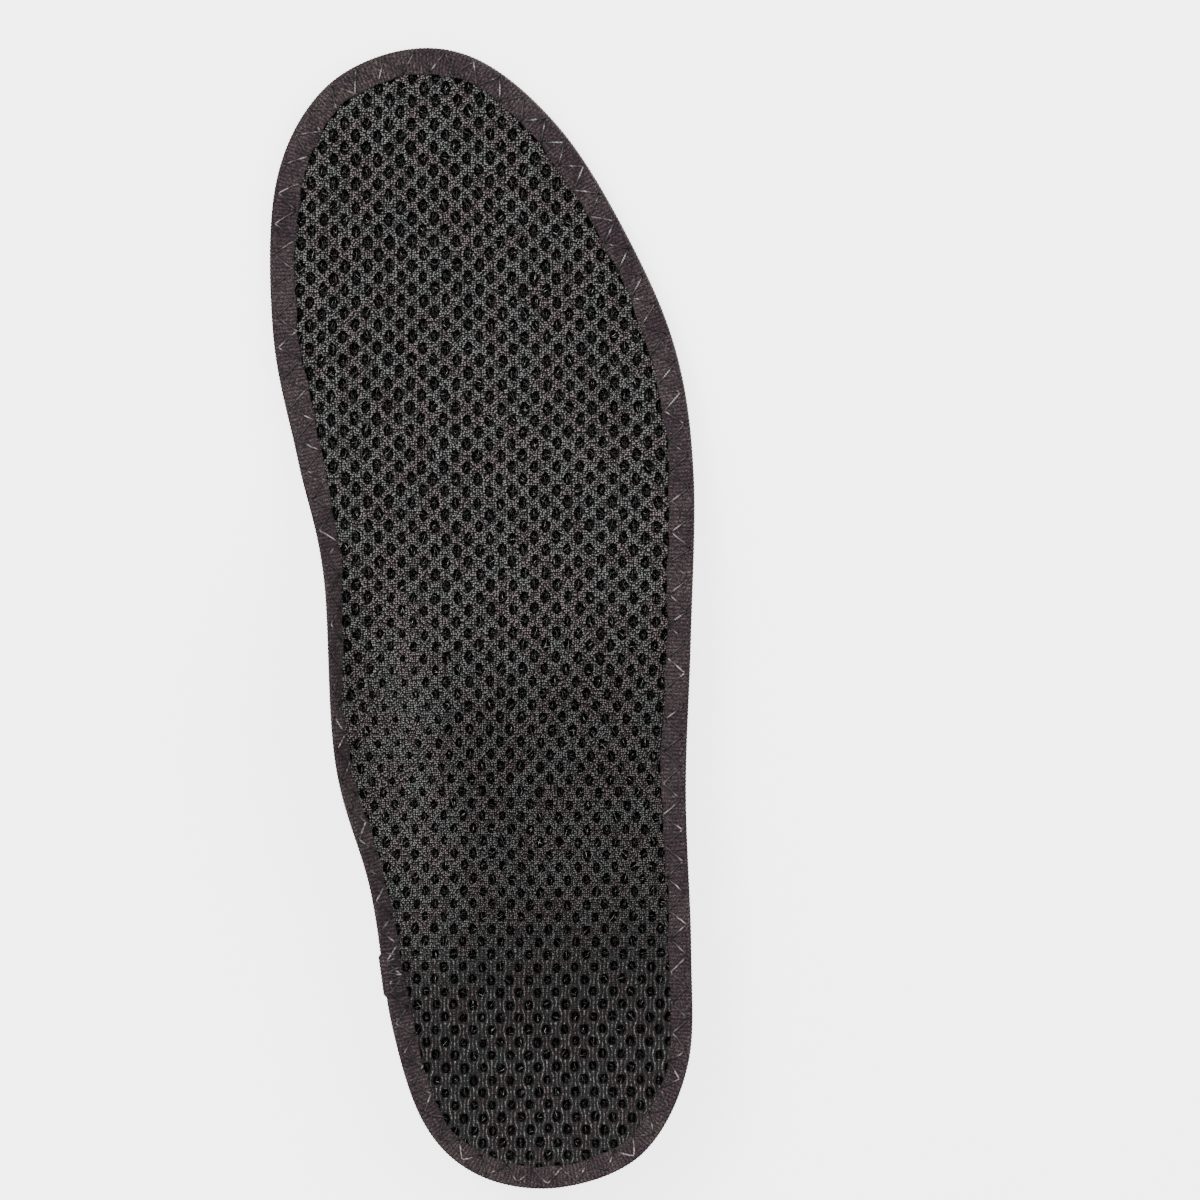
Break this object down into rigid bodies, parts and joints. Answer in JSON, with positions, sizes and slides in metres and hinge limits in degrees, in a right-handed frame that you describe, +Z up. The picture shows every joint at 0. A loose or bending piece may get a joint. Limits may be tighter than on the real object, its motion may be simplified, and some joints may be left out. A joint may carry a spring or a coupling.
{
  "type": "cushioned insole",
  "caption": "Right-foot cushioned insole: air-mesh cover on foam and an embossed base sheet, zigzag-stitched edge tape, moulded heel and arch support with a heel plug; the forefoot flexes.",
  "frame": {"origin": "on the floor under the middle of the insole's bounding box", "axes": "+Y along the length towards the toes, +X towards the outer side of the right foot, +Z up from the sole to the foot"},
  "size_m": [0.0878, 0.248, 0.0261],
  "materials": {
    "mesh_cover": "knitted spacer mesh",
    "cushion_foam": "open-cell foam",
    "base_sheet": "matt foam sheet, embossed",
    "edge_binding": "ribbed knit tape",
    "thread": "bright filament thread",
    "support_base": "satin leather grain",
    "heel_plug": "satin white"
  },
  "bodies": {
    "heel_section": {"mesh_cover_rear": "mesh_cover", "cushion_foam_rear": "cushion_foam", "base_sheet_rear": "base_sheet", "edge_binding_rear": "edge_binding", "binding_tape_end": "edge_binding", "needle_thread_rear": "thread", "bobbin_thread_rear": "thread", "support_base": "support_base", "heel_plug": "heel_plug"},
    "toe_section": {"mesh_cover_front": "mesh_cover", "cushion_foam_front": "cushion_foam", "base_sheet_front": "base_sheet", "edge_binding_front": "edge_binding", "needle_thread_front": "thread", "bobbin_thread_front": "thread"}
  },
  "joints": [
    {"name": "forefoot_flex", "type": "hinge", "parent": "heel_section", "child": "toe_section", "pos_m": [0, 0.0434, 0.0074], "axis": [1, 0, 0], "range_deg": [0, 50], "stiffness_Nm_per_rad": 0.03}
  ]
}
